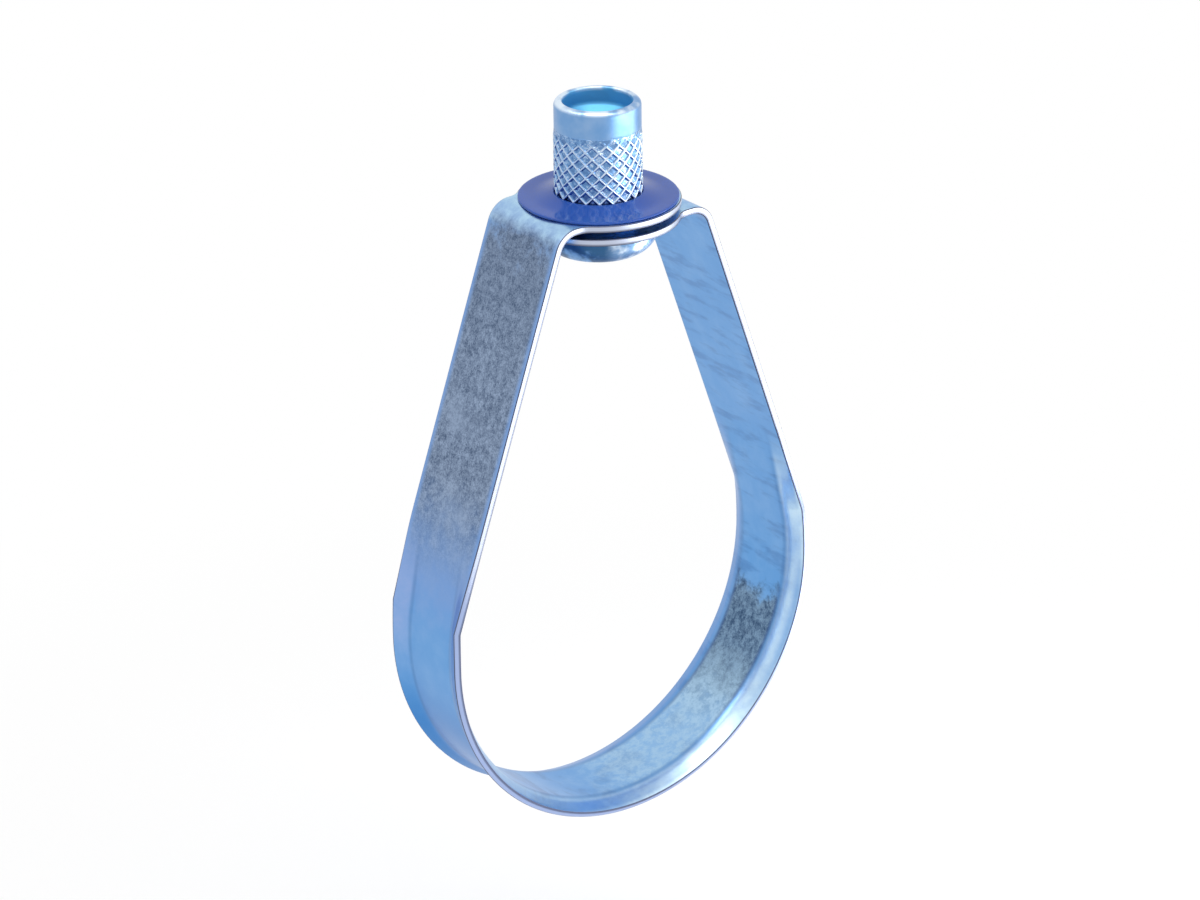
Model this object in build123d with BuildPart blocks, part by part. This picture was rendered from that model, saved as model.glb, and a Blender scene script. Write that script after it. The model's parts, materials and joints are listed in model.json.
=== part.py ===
"""Loop hanger for a 2 inch pipe.

A single strip of galvanised steel is bent round the pipe, its two straight legs lean together above it,
and their ends turn in to lie one over the other as two round eyes. A flanged nut is passed up through
both eyes and a washer pushed over its knurl keeps it there, so that the loop can swivel on the nut.

The origin is on the pipe's axis, at the middle of the strip. +Y runs along the pipe, +Z up to the rod.
All sizes are millimetres and all angles are degrees.
"""
from build123d import *
import os
from math import asin, atan2, cos, degrees, hypot, pi, radians, sin, sqrt, tan

os.makedirs("parts", exist_ok=True)

# Pipe and strip
pipe_diameter = 60.3
pipe_clearance = 0.85
strip_width = 16.4
strip_thickness = 1.05

# Flared edges of the ring, and how they run out into the flat legs
flat_width = 9.0
flare_bend_length = 2.0
flare_angle = 29.5
flare_end_angle = 12.0
leg_stand_out = 1.45
runout_length = 5.0
runout_stations = 6

# Tabs and eyes at the top of the legs
tab_height = 60.45
tab_gap = 1.0
tab_spread = 25.9
tab_bend_radius = 2.8
eye_radius = 12.0
eye_neck_radius = 3.0
eye_clearance = 0.3

# Swivel nut
thread_minor_diameter = 7.94
bore_chamfer = 0.5
mouth_diameter = 10.25
mouth_depth = 2.6
mouth_taper = 1.2
mouth_round = 0.3
mouth_round_steps = 2
collar_radius = 6.32
collar_length = 4.05
lip_steps = 3
flange_radius = 8.95
flange_foot_radius = 6.9
flange_height = 4.4
flange_edge = 0.5
bowl_steps = 4
seat_clearance = 0.05

# Diamond knurl on the nut: ridges that cross round sunk cells
knurl_rows = 11
knurl_pitch = 1.97
knurl_cells = 20
knurl_crest = 0.12
knurl_depth = 0.26
knurl_ridge_width = 0.32
knurl_draft = 25.0
knurl_core_depth = 0.6

# Retaining washer
washer_radius = 11.7
washer_thickness = 0.35
washer_rim = 1.8
washer_dish = 0.7
washer_grip = 0.02

# Places that follow from the sizes
ring_radius = pipe_diameter / 2 + pipe_clearance
leg_radius = ring_radius + leg_stand_out
flare_length = (strip_width - flat_width) / 2 - flare_bend_length
leg_angle = degrees(
    asin(leg_radius / hypot(tab_spread / 2, tab_height)) - atan2(tab_spread / 2, tab_height)
)
leg_along = Vector(sin(radians(leg_angle)), cos(radians(leg_angle)))
leg_outward = Vector(-cos(radians(leg_angle)), sin(radians(leg_angle)))
leg_foot = leg_outward * leg_radius + leg_along * runout_length
tab_setback = tab_bend_radius * tan(radians(90 - leg_angle) / 2)
upper_tab_height = tab_height + strip_thickness + tab_gap
upper_tab_top = upper_tab_height + strip_thickness
knurl_radius = collar_radius + knurl_crest
knurl_length = knurl_rows * knurl_pitch / 2
core_radius = knurl_radius - knurl_core_depth
eye_hole_radius = knurl_radius + eye_clearance
washer_bottom = upper_tab_top + seat_clearance
knurl_bottom = washer_bottom
knurl_top = knurl_bottom + knurl_length
nut_top = knurl_top + collar_length
flange_top = tab_height - seat_clearance
nut_bottom = flange_top - flange_height


def mirrored(point):
    """The same point on the other side of a sketch's middle line."""
    return Vector(-point.X, point.Y)


def strip_section(plane, flare, radius):
    """Section of the strip from flat (flare 0) to fully flared (flare 1), its inside at this radius."""
    tilt = radians(flare_angle * flare)
    outward = Vector(cos(tilt), sin(tilt))
    skin = Vector(-sin(tilt), cos(tilt)) * strip_thickness
    reach = flare_bend_length / 2
    start = Vector(flat_width / 2, radius)
    corner = start + Vector(reach, 0)
    end = corner + outward * reach
    edge = end + outward * flare_length
    outer_start = start + Vector(0, strip_thickness)
    outer_corner = corner + Vector(-tan(tilt / 2), 1) * strip_thickness
    outer_end = end + skin
    outer_edge = edge + skin
    with BuildSketch(plane) as section:
        with BuildLine():
            Line(mirrored(start), start)
            Bezier(start, corner, end)
            Line(end, edge)
            Line(edge, outer_edge)
            Line(outer_edge, outer_end)
            Bezier(outer_end, outer_corner, outer_start)
            Line(outer_start, mirrored(outer_start))
            Bezier(mirrored(outer_start), mirrored(outer_corner), mirrored(outer_end))
            Line(mirrored(outer_end), mirrored(outer_edge))
            Line(mirrored(outer_edge), mirrored(edge))
            Line(mirrored(edge), mirrored(end))
            Bezier(mirrored(end), mirrored(corner), mirrored(start))
        make_face()
    return section.sketch


def across_strip(angle, lift=0.0):
    """Plane across the strip's left side, this far above level and then this far on along the leg.

    Its x runs along the pipe and its y straight out from the pipe's axis.
    """
    forward = Vector(sin(radians(angle)), 0, cos(radians(angle)))
    return Plane(origin=forward * lift, x_dir=(0, 1, 0), z_dir=forward)


def runout_sections():
    """Sections of the strip from the end of its full flare, past the ring's end, to the flat leg."""
    arc = radians(leg_angle - flare_end_angle) * leg_radius
    sections = []
    for station in range(runout_stations):
        share = station / (runout_stations - 1)
        travel = share * (arc + runout_length)
        flare = 1 - share * share * (3 - 2 * share)
        angle = min(flare_end_angle + degrees(travel / leg_radius), leg_angle)
        radius = leg_radius - leg_stand_out * flare
        sections.append(strip_section(across_strip(angle, max(travel - arc, 0)), flare, radius))
    return sections


def along_leg(start, height):
    """The point of a line along the left leg, from this start, that lies at this height."""
    return start + leg_along * ((height - start.Y) / leg_along.Y)


def leg_side(underside):
    """Side view of the left leg, its bend and its tab, with the tab's underside at this height."""
    outer_foot = leg_foot + leg_outward * strip_thickness
    top = underside + strip_thickness
    outer_bend_radius = tab_bend_radius + strip_thickness
    with BuildSketch(Plane.XZ) as side:
        with BuildLine():
            FilletPolyline(leg_foot, along_leg(leg_foot, underside), (0, underside), radius=tab_bend_radius)
            Line((0, underside), (0, top))
            FilletPolyline((0, top), along_leg(outer_foot, top), outer_foot, radius=outer_bend_radius)
            Line(outer_foot, leg_foot)
        make_face()
    return side.sketch


def eye_plan(underside):
    """Plan of the left leg's tab: the strip swells through two hollow curves into a round eye."""
    half_width = strip_width / 2
    hollow_y = half_width + eye_neck_radius
    hollow = Vector(-sqrt((eye_radius + eye_neck_radius) ** 2 - hollow_y**2), hollow_y)
    neck = Vector(hollow.X, half_width)
    shoulder = hollow * (eye_radius / (eye_radius + eye_neck_radius))
    flat_start = along_leg(leg_foot, underside).X + tab_setback
    with BuildSketch(Plane.XY.offset(underside)) as plan:
        Circle(eye_radius)
        with BuildLine():
            TangentArc(neck, shoulder, tangent=(1, 0))
            Line(shoulder, (0, 0))
            Line((0, 0), (shoulder.X, -shoulder.Y))
            TangentArc((neck.X, -neck.Y), (shoulder.X, -shoulder.Y), tangent=(1, 0))
            Line((neck.X, -neck.Y), neck)
        make_face()
        with Locations((flat_start - eye_radius, 0)):
            Rectangle(2 * eye_radius, 2 * eye_radius, mode=Mode.SUBTRACT)
    return plan.sketch


def for_right_leg(shape):
    """A shape of the left leg, mirrored to the right one."""
    return mirror(shape, about=Plane.YZ, mode=Mode.PRIVATE)


# Loop band: ring with flared edges, two run-outs, two legs and two eyes, all one strip
with BuildPart() as runout:
    loft(sections=runout_sections())

with BuildPart() as loop_band:
    add(strip_section(across_strip(flare_end_angle), 1, ring_radius))
    revolve(axis=Axis((0, 0, 0), (0, -1, 0)), revolution_arc=180 + 2 * flare_end_angle)
    add(runout.part)
    mirror(runout.part, about=Plane.YZ)
    extrude(leg_side(upper_tab_height), amount=strip_width / 2, both=True)
    extrude(for_right_leg(leg_side(tab_height)), amount=strip_width / 2, both=True)
    extrude(eye_plan(upper_tab_height), amount=strip_thickness, dir=(0, 0, 1))
    extrude(for_right_leg(eye_plan(tab_height)), amount=strip_thickness, dir=(0, 0, 1))
    with BuildSketch(Plane.XY.offset(tab_height)):
        Circle(eye_hole_radius)
    extrude(amount=upper_tab_top - tab_height, mode=Mode.SUBTRACT)
loop_band.part.label = "loop_band"

# Knurl: a sleeve with one narrow flat for each half cell, and rows of diamond cells sunk between its
# ridges, every second row half a cell on. A cell is what two crossing grooves with leaning walls share.
cell_half_width = pi * knurl_radius / knurl_cells - knurl_ridge_width / sqrt(2)
cell_half_height = knurl_pitch / 2 - knurl_ridge_width / sqrt(2)
cell_places = []
for row in range(knurl_rows + 1):
    for cell in range(knurl_cells):
        turn = 360 / knurl_cells * (cell + row % 2 / 2)
        cell_places.append(Location((0, 0, knurl_bottom + row * knurl_pitch / 2), (0, 0, turn)))

groove_half_width = cell_half_width * cell_half_height / hypot(cell_half_width, cell_half_height)
floor_half_width = groove_half_width - knurl_depth * tan(radians(knurl_draft))
with BuildPart() as cell_cutter:
    for slope, join in ((1, Mode.ADD), (-1, Mode.INTERSECT)):
        ridge = Vector(0, cell_half_width, slope * cell_half_height)
        with BuildSketch(Plane(origin=(knurl_radius, 0, 0), x_dir=(-1, 0, 0), z_dir=ridge)):
            Polygon(
                (-knurl_depth, -groove_half_width),
                (0, -groove_half_width),
                (knurl_depth, -floor_half_width),
                (knurl_depth, floor_half_width),
                (0, groove_half_width),
                (-knurl_depth, groove_half_width),
            )
        extrude(amount=knurl_pitch, both=True, mode=join)

with BuildPart() as knurl:
    with BuildSketch(Plane.XY.offset(knurl_bottom)):
        RegularPolygon(knurl_radius, 2 * knurl_cells)
        Circle(core_radius - knurl_depth, mode=Mode.SUBTRACT)
    extrude(amount=knurl_length)
    with Locations(*cell_places):
        add(cell_cutter.part, mode=Mode.SUBTRACT)

# Swivel nut: bowl-shaped flange under the eyes, plain shank through them, knurl, collar and round lip.
# The lip and the bowl are turned in narrow steps that follow these arcs.
bore_radius = thread_minor_diameter / 2
mouth_radius = mouth_diameter / 2
crown_radius = mouth_radius + mouth_round
lip_round = collar_radius - crown_radius
inner_lip = CenterArc((crown_radius, nut_top - mouth_round), mouth_round, 180, -90, mode=Mode.PRIVATE)
outer_lip = CenterArc((crown_radius, nut_top - lip_round), lip_round, 90, -90, mode=Mode.PRIVATE)
bowl = TangentArc(
    (flange_radius, flange_top - flange_edge),
    (flange_foot_radius, nut_bottom),
    tangent=(0, -1),
    mode=Mode.PRIVATE,
)
with BuildPart() as swivel_nut:
    with BuildSketch(Plane.XZ):
        with BuildLine():
            Polyline(
                (bore_radius + bore_chamfer, nut_bottom),
                (bore_radius, nut_bottom + bore_chamfer),
                (bore_radius, nut_top - mouth_depth - mouth_taper),
                (mouth_radius, nut_top - mouth_depth),
                *(inner_lip @ (step / mouth_round_steps) for step in range(mouth_round_steps)),
                *(outer_lip @ (step / lip_steps) for step in range(lip_steps + 1)),
                (collar_radius, knurl_top),
                (core_radius, knurl_top),
                (core_radius, knurl_bottom),
                (collar_radius, knurl_bottom),
                (collar_radius, flange_top),
                (flange_radius, flange_top),
                *(bowl @ (step / bowl_steps) for step in range(bowl_steps + 1)),
                close=True,
            )
        make_face()
    revolve(axis=Axis.Z)
    add(knurl.part)
swivel_nut.part.label = "swivel_nut"

# Retaining washer: flat rim on the upper eye, dished up to a bore that grips the knurl
washer_bore = knurl_radius + washer_grip
dish_start = washer_radius - washer_rim
with BuildPart() as retaining_washer:
    with BuildSketch(Plane.XZ):
        with BuildLine():
            Polyline(
                (washer_radius, washer_bottom),
                (dish_start, washer_bottom),
                (washer_bore, washer_bottom + washer_dish),
                (washer_bore, washer_bottom + washer_dish + washer_thickness),
                (dish_start, washer_bottom + washer_thickness),
                (washer_radius, washer_bottom + washer_thickness),
                close=True,
            )
        make_face()
    revolve(axis=Axis.Z)
retaining_washer.part.label = "retaining_washer"

export_step(loop_band.part, "parts/loop_band.step")
export_step(swivel_nut.part, "parts/swivel_nut.step")
export_step(retaining_washer.part, "parts/retaining_washer.step")
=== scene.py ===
"""Dresses the loop hanger: strip-steel loop band, knurled swivel nut, retaining washer and a plain studio."""
import json
from math import cos, radians, sin, sqrt, tan

import bmesh
import bpy
import numpy as np
from bpy.props import FloatProperty, FloatVectorProperty, PointerProperty
from mathutils import Matrix, Vector


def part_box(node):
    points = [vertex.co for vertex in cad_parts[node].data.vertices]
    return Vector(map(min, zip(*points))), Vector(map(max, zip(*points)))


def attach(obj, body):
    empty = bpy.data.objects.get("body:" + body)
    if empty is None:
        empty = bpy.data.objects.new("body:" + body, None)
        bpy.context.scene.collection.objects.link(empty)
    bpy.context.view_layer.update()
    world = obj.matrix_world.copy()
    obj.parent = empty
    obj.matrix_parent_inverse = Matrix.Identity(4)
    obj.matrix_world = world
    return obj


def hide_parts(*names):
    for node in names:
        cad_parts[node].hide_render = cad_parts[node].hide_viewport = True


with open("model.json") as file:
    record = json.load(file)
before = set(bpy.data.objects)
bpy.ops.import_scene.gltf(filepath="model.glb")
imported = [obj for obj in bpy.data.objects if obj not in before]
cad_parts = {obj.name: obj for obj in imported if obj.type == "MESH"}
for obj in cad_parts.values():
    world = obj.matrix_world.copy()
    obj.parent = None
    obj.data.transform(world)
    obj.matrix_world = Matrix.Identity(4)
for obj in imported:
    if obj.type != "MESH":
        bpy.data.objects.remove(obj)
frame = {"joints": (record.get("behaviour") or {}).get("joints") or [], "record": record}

bl_info = {
    "name": "Loop hanger",
    "version": (1, 0, 0),
    "blender": (4, 5, 0),
    "location": "View3D > Sidebar > Loop hanger",
    "description": "Builds the looks of a strip-steel pipe hanger on its packed frame",
    "category": "Object",
}

MM = 0.001
MOUNTS = {mount["name"]: mount for mount in frame["record"]["mounts"]}
BAND_LOW, BAND_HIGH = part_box("loop_band")
NUT_LOW, NUT_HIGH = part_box("swivel_nut")
WASHER_LOW, WASHER_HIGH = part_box("retaining_washer")
RING_RADIUS = MOUNTS["pipe_seat"]["dims"]["r_mm"] * MM
FLAT_WIDTH = MOUNTS["pipe_seat"]["dims"]["length_mm"] * MM
BORE_RADIUS = MOUNTS["rod_thread"]["dims"]["r_mm"] * MM
SWIVEL_HEIGHT = frame["joints"][0]["pos_m"][2]


def length(name, description, value):
    """A size property, given in millimetres and kept in metres."""
    return FloatProperty(
        name=name, description=description, default=value * MM, subtype="DISTANCE", unit="LENGTH"
    )


def colour(name, description, value):
    """A colour property in scene-linear red, green and blue."""
    return FloatVectorProperty(
        name=name, description=description, default=value, subtype="COLOR", min=0, max=1
    )


def angle(name, description, value):
    """An angle property, given in degrees and kept in radians."""
    return FloatProperty(name=name, description=description, default=radians(value), subtype="ANGLE")


def share(name, description, value):
    """A property from 0 to 1."""
    return FloatProperty(name=name, description=description, default=value, min=0, max=1, subtype="FACTOR")


class BandSettings(bpy.types.PropertyGroup):
    """Sizes and finish of the loop band."""

    strip_width: length("Strip width", "Width of the flat strip", 16.4)
    strip_thickness: length("Strip thickness", "Thickness of the strip", 1.05)
    edge_round: length("Edge round", "Radius of the strip's worn edges", 0.16)
    flare_bend: length("Flare bend", "Width of the bend between the flat and a flared edge", 2.0)
    flare_angle: angle("Flare angle", "Angle of the flared edges", 29.5)
    kink: angle("Kink", "Height above level of the first leg's kink", 10.5)
    far_kink: angle("Far kink", "Height above level of the other leg's kink", 12.5)
    leg_stand_out: length("Leg stand-out", "How far the legs' line stands out from the ring", 1.45)
    runout_ease: length("Run-out ease", "Half the length over which the flare's end eases into the leg", 2.5)
    tab_gap: length("Tab gap", "Gap between the two tabs", 1.0)
    tab_spread: length("Tab spread", "Distance between the legs at the lower tab", 25.9)
    tab_bend: length("Tab bend", "Inner radius of the bend from leg to tab", 2.8)
    eye_neck: length("Eye neck", "Radius of the hollow between tab and eye", 3.0)
    eye_hole: length("Eye hole", "Radius of the hole in each eye", 6.74)
    zinc: colour("Zinc", "Smooth zinc", (0.135, 0.345, 0.69))
    zinc_light: colour("Light zinc", "Smooth zinc where it is palest", (0.33, 0.54, 0.82))
    # Painted shade: the outside of the ring's lower half is painted darker.
    deep_zinc: colour("Deep zinc", "Outside of the ring's lower half", (0.03, 0.2, 0.54))
    # Painted highlight on the tabs' top faces.
    tab_zinc: colour("Tab zinc", "Pale bloom on the tabs", (0.46, 0.68, 0.84))
    violet_zinc: colour("Violet zinc", "Smooth zinc where the leg's spangle ends", (0.23, 0.35, 0.67))
    smudge: colour("Smudge", "Slanted smudges on the strip's inner side", (0.07, 0.18, 0.42))
    spangle: colour("Spangle", "Grainy zinc, light grains", (0.32, 0.41, 0.56))
    spangle_dark: colour("Dark spangle", "Grainy zinc, dark grains", (0.065, 0.1, 0.17))
    # Grain with a painted dark reflection, low inside the ring.
    reflection_grain: colour("Rubbed zinc", "Light clusters low inside the ring", (0.22, 0.34, 0.48))
    dark_reflection_grain: colour("Dark rubbed zinc", "Dark clusters low inside the ring", (0.02, 0.045, 0.1))
    # Grain with a painted pale reflection, at the ring's lowest part inside.
    frost: colour("Frost", "Frosted zinc at the ring's lowest part", (0.42, 0.62, 0.8))
    # Painted lavender reflection on the outside of the far flare and on the flared cut edges.
    rolled: colour("Rolled flare", "Outside of a flare, dulled by the rolls", (0.34, 0.45, 0.76))
    # Painted highlight on the inside of the near flare.
    burnished: colour("Burnished flare", "Inside of a flare, burnished by the rolls", (0.62, 0.8, 0.92))
    # Painted shade on the inside of the far flare.
    far_flare: colour("Far flare", "Inside of the other flare, left blue", (0.07, 0.22, 0.56))
    # Painted shade line along the bend of each flare.
    crease: colour("Crease", "Line where a flare bends off", (0.06, 0.12, 0.28))
    cut_edge: colour("Cut edge", "Sheared edge of the strip", (0.5, 0.55, 0.68))
    # Painted shade lines along the cut face's rounded edges.
    shear_line: colour("Shear line", "Burr along the sheared edge", (0.05, 0.055, 0.1))


class NutSettings(bpy.types.PropertyGroup):
    """Sizes and finish of the swivel nut."""

    collar_radius: length("Collar radius", "Radius of the plain collar and shank", 6.32)
    collar_length: length("Collar length", "Height of the collar above the knurl", 4.05)
    mouth_radius: length("Mouth radius", "Radius of the nut's mouth", 5.125)
    mouth_depth: length("Mouth depth", "Depth of the mouth before its taper", 2.6)
    mouth_taper: length("Mouth taper", "Height of the taper below the mouth", 1.2)
    mouth_round: length("Mouth round", "Radius of the lip's inner edge", 0.3)
    flange_height: length("Flange height", "Height of the bowl-shaped flange", 4.4)
    flange_foot: length("Flange foot", "Radius of the flange's flat foot", 6.9)
    flange_edge: length("Flange edge", "Straight height at the flange's rim", 0.5)
    knurl_length: length("Knurl length", "Height of the knurl", 10.835)
    knurl_pitch: length("Knurl pitch", "Height of one knurl cell", 1.97)
    knurl_crest: length("Knurl crest", "How far the ridges stand above the collar", 0.12)
    knurl_depth: length("Knurl depth", "Depth of the sunk cells below the ridges", 0.28)
    knurl_ridge: length("Knurl ridge", "Width of a ridge", 0.26)
    thread_pitch: length("Thread pitch", "Pitch of the rod thread", 1.5875)
    thread_depth: length("Thread depth", "Depth of the thread's grooves", 0.75)
    plate: colour("Plate", "Zinc plate on the nut", (0.16, 0.335, 0.62))
    pale_plate: colour("Pale plate", "Plate where it is thinnest", (0.45, 0.58, 0.76))
    # Polished knurl crests with a painted highlight, also used for painted glints in the cells.
    ridge: colour("Ridge", "Burnished crests of the knurl", (0.85, 0.92, 0.98))
    # Painted shade in the knurl's cells.
    cell_shade: colour("Valley", "Dull floors of the knurl's cells", (0.1, 0.21, 0.43))
    # Painted shade and dark reflection on the flange's bowl.
    shade: colour("Shade", "Dark stains under the flange", (0.03, 0.1, 0.22))
    bore: colour("Bore", "Plate inside the bore", (0.15, 0.47, 0.74))
    # Painted highlight on the lip's crown and on the lit side of the flange's bowl.
    lip: colour("Lip", "Burnished rounding of the lip", (0.72, 0.82, 0.92))


class WasherSettings(bpy.types.PropertyGroup):
    """Sizes and finish of the retaining washer."""

    thickness: length("Thickness", "Thickness of the washer", 0.35)
    rim: length("Rim", "Width of the flat rim", 1.8)
    dish: length("Dish", "Rise from the rim to the bore", 0.7)
    plastic: colour("Plastic", "Moulded plastic of the washer", (0.022, 0.078, 0.36))
    flow_mark: colour("Flow mark", "Plastic where the moulding's flow shows", (0.03, 0.11, 0.46))


class StageSettings(bpy.types.PropertyGroup):
    """Floor, light and camera."""

    floor_drop: length("Floor drop", "Gap between the ring and the floor", 45)
    floor_colour: colour("Floor colour", "Colour of the floor", (0.96, 0.96, 0.96))
    fill: share("Fill", "Strength of the soft light from all round", 0.62)
    focal_length: FloatProperty(name="Focal length", description="Lens, in millimetres", default=137.973)
    distance: length("Camera distance", "Distance of the camera from the ring's middle plane", 689.75)
    slide: length("Slide", "Sideways place of the camera's axis", -0.534)
    lift: length("Lift", "Upward place of the camera's axis", 21.252)
    azimuth: angle("Azimuth", "Turn of the camera from the pipe's line", 37.331)
    elevation: angle("Elevation", "Camera's height above level", 24.363)
    roll: angle("Roll", "Roll of the camera", -0.737)


# Shader expressions


class Socket:
    """A socket that takes part in expressions: each operator adds one Math node to its tree."""

    def __init__(self, tree, socket):
        self.tree = tree
        self.socket = socket

    def math(self, operation, *others, swap=False):
        """The result of a Math node on this socket and up to two more values."""
        node = self.tree.nodes.new("ShaderNodeMath")
        node.operation = operation
        values = (*others, self) if swap else (self, *others)
        for entry, value in zip(node.inputs, values):
            plug(self.tree, entry, value)
        return Socket(self.tree, node.outputs[0])

    def __add__(self, other):
        return self.math("ADD", other)

    def __sub__(self, other):
        return self.math("SUBTRACT", other)

    def __mul__(self, other):
        return self.math("MULTIPLY", other)

    def __pow__(self, other):
        return self.math("POWER", other)

    def __rsub__(self, other):
        return self.math("SUBTRACT", other, swap=True)

    def __abs__(self):
        return self.math("ABSOLUTE")

    __radd__ = __add__
    __rmul__ = __mul__

    def ramp(self, low, high):
        """0 at low, 1 at high and a smooth rise between them, or a fall where low is the larger."""
        node = self.tree.nodes.new("ShaderNodeMapRange")
        node.interpolation_type = "SMOOTHSTEP"
        for entry, value in zip(node.inputs, (self, low, high)):
            plug(self.tree, entry, value)
        return Socket(self.tree, node.outputs[0])


def plug(tree, entry, value):
    """Links a socket to a node's entry, or sets the entry to a plain value."""
    if isinstance(value, Socket):
        tree.links.new(value.socket, entry)
    elif isinstance(value, (tuple, list)) and entry.type == "RGBA":
        entry.default_value = (*value[:3], 1)
    else:
        entry.default_value = value


class Finish:
    """A material under construction."""

    def __init__(self, name):
        self.material = bpy.data.materials.new(name)
        self.material.use_nodes = True
        self.tree = self.material.node_tree
        self.shader = self.tree.nodes["Principled BSDF"]
        place = self.tree.nodes.new("ShaderNodeTexCoord")
        self.place = Socket(self.tree, place.outputs["Object"])

    def node(self, kind, settings=None, output=0, **inputs):
        """One node of this kind: its settings first, then its inputs by name; gives one output."""
        node = self.tree.nodes.new(kind)
        for key, value in (settings or {}).items():
            setattr(node, key, value)
        for key, value in inputs.items():
            plug(self.tree, node.inputs[key.replace("_", " ")], value)
        return Socket(self.tree, node.outputs[output])

    def noise(self, size, detail=2.0, roughness=0.5, place=None):
        """Noise between 0 and 1 with blotches of about this size in metres."""
        return self.node(
            "ShaderNodeTexNoise",
            Vector=place or self.place,
            Scale=1 / size,
            Detail=detail,
            Roughness=roughness,
        )

    def axis(self, index):
        """One coordinate of the place on the piece, in metres."""
        return self.node("ShaderNodeSeparateXYZ", output=index, Vector=self.place)

    def stored(self, name):
        """The piece's own stored number of this name at each place."""
        return self.node("ShaderNodeAttribute", {"attribute_name": name}, output=2)

    def mix(self, amount, first, second):
        """Mix of two colours by this amount."""
        node = self.tree.nodes.new("ShaderNodeMix")
        node.data_type = "RGBA"
        plug(self.tree, node.inputs[0], amount)
        plug(self.tree, node.inputs[6], first)
        plug(self.tree, node.inputs[7], second)
        return Socket(self.tree, node.outputs[2])

    def bump(self, height, strength, distance):
        """Surface normal bumped by this height."""
        return self.node("ShaderNodeBump", Height=height, Strength=strength, Distance=distance)

    def surface(self, **inputs):
        """Sets or links the shader's inputs, given by name."""
        for key, value in inputs.items():
            plug(self.tree, self.shader.inputs[key.replace("_", " ")], value)
        return self.material


# Meshes from grids


def grid_faces(rows, columns, close_rows=False, close_columns=False, first=0):
    """Corner numbers of the quads of a grid whose points are numbered along the columns."""
    number = first + np.arange(rows * columns).reshape(rows, columns)
    if close_rows:
        number = np.vstack([number, number[:1]])
    if close_columns:
        number = np.hstack([number, number[:, :1]])
    corners = (number[:-1, :-1], number[:-1, 1:], number[1:, 1:], number[1:, :-1])
    return np.stack(corners, axis=-1)


def enclosed(points, faces):
    """Volume inside closed quads: the sum of each triangle's corners' triple product over six."""
    a, b, c, d = (points[faces[:, k]] for k in range(4))
    first = np.einsum("ij,ij->i", a, np.cross(b, c))
    second = np.einsum("ij,ij->i", a, np.cross(c, d))
    return (first + second).sum() / 6


def piece_from(name, points, faces, stored=None, weld=None):
    """A smooth-shaded piece from points and quads, its faces outwards and its seams welded."""
    if enclosed(points, faces) < 0:
        faces = faces[:, ::-1]
    mesh = bpy.data.meshes.new(name)
    mesh.vertices.add(len(points))
    mesh.vertices.foreach_set("co", points.astype(np.float32).ravel())
    mesh.loops.add(faces.size)
    mesh.loops.foreach_set("vertex_index", faces.astype(np.int32).ravel())
    mesh.polygons.add(len(faces))
    mesh.polygons.foreach_set("loop_start", np.arange(0, faces.size, 4, dtype=np.int32))
    mesh.polygons.foreach_set("use_smooth", np.ones(len(faces), bool))
    for key, values in (stored or {}).items():
        layer = mesh.attributes.new(key, "FLOAT", "POINT")
        layer.data.foreach_set("value", values.astype(np.float32).ravel())
    mesh.update(calc_edges=True)
    if weld:
        shape = bmesh.new()
        shape.from_mesh(mesh)
        bmesh.ops.remove_doubles(shape, verts=shape.verts, dist=weld)
        shape.to_mesh(mesh)
        shape.free()
    mesh.validate()
    piece = bpy.data.objects.new(name, mesh)
    bpy.context.scene.collection.objects.link(piece)
    return piece


def keep_flats_flat(piece):
    """Weights the normals by area, so that flats shade flat beside their rounded edges."""
    modifier = piece.modifiers.new("flats", "WEIGHTED_NORMAL")
    modifier.weight = 50
    modifier.keep_sharp = False


def turned(radii, heights, steps):
    """Points of a profile turned about Z: x is r cos t and y is r sin t.

    Each row has one radius, or one for each turn.
    """
    turn = np.linspace(0, 2 * np.pi, steps, endpoint=False)
    radii = np.broadcast_to(np.reshape(radii, (len(heights), -1)), (len(heights), steps))
    x = radii * np.cos(turn)
    y = radii * np.sin(turn)
    z = np.repeat(np.reshape(heights, (-1, 1)), steps, axis=1)
    return np.stack([x, y, z], axis=-1)


def arc(centre, radius, start, end, steps):
    """Points of a circular arc between two angles in degrees, both ends included."""
    turn = np.radians(np.linspace(start, end, steps + 1))
    return np.column_stack([centre[0] + radius * np.cos(turn), centre[1] + radius * np.sin(turn)])


def straight(start, end, steps):
    """Evenly spaced points of a straight line, both ends included."""
    return np.linspace(start, end, steps + 1)


def smooth(value):
    """3 v squared less 2 v cubed, of the value held between 0 and 1."""
    value = np.clip(value, 0, 1)
    return value * value * (3 - 2 * value)


# Loop band

# Numbers of steps in the meshes
FLAT_STEPS = 5
FLARE_BEND_STEPS = 8
FLARE_STEPS = 3
EDGE_STEPS = 4
TAB_BEND_STEPS = 16
LEG_STEPS = 13
EASE_STEPS = 12
RUNOUT_STEPS = 15
RING_STEPS = 150
EYE_STEPS = 120
NECK_STEPS = 8
EYE_RINGS = 7
KINK_STATIONS = (0.25 * MM, 0.1 * MM, 0)  # the last stations of a leg, close together for a crisp kink
WELD = 0.0005 * MM


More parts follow.
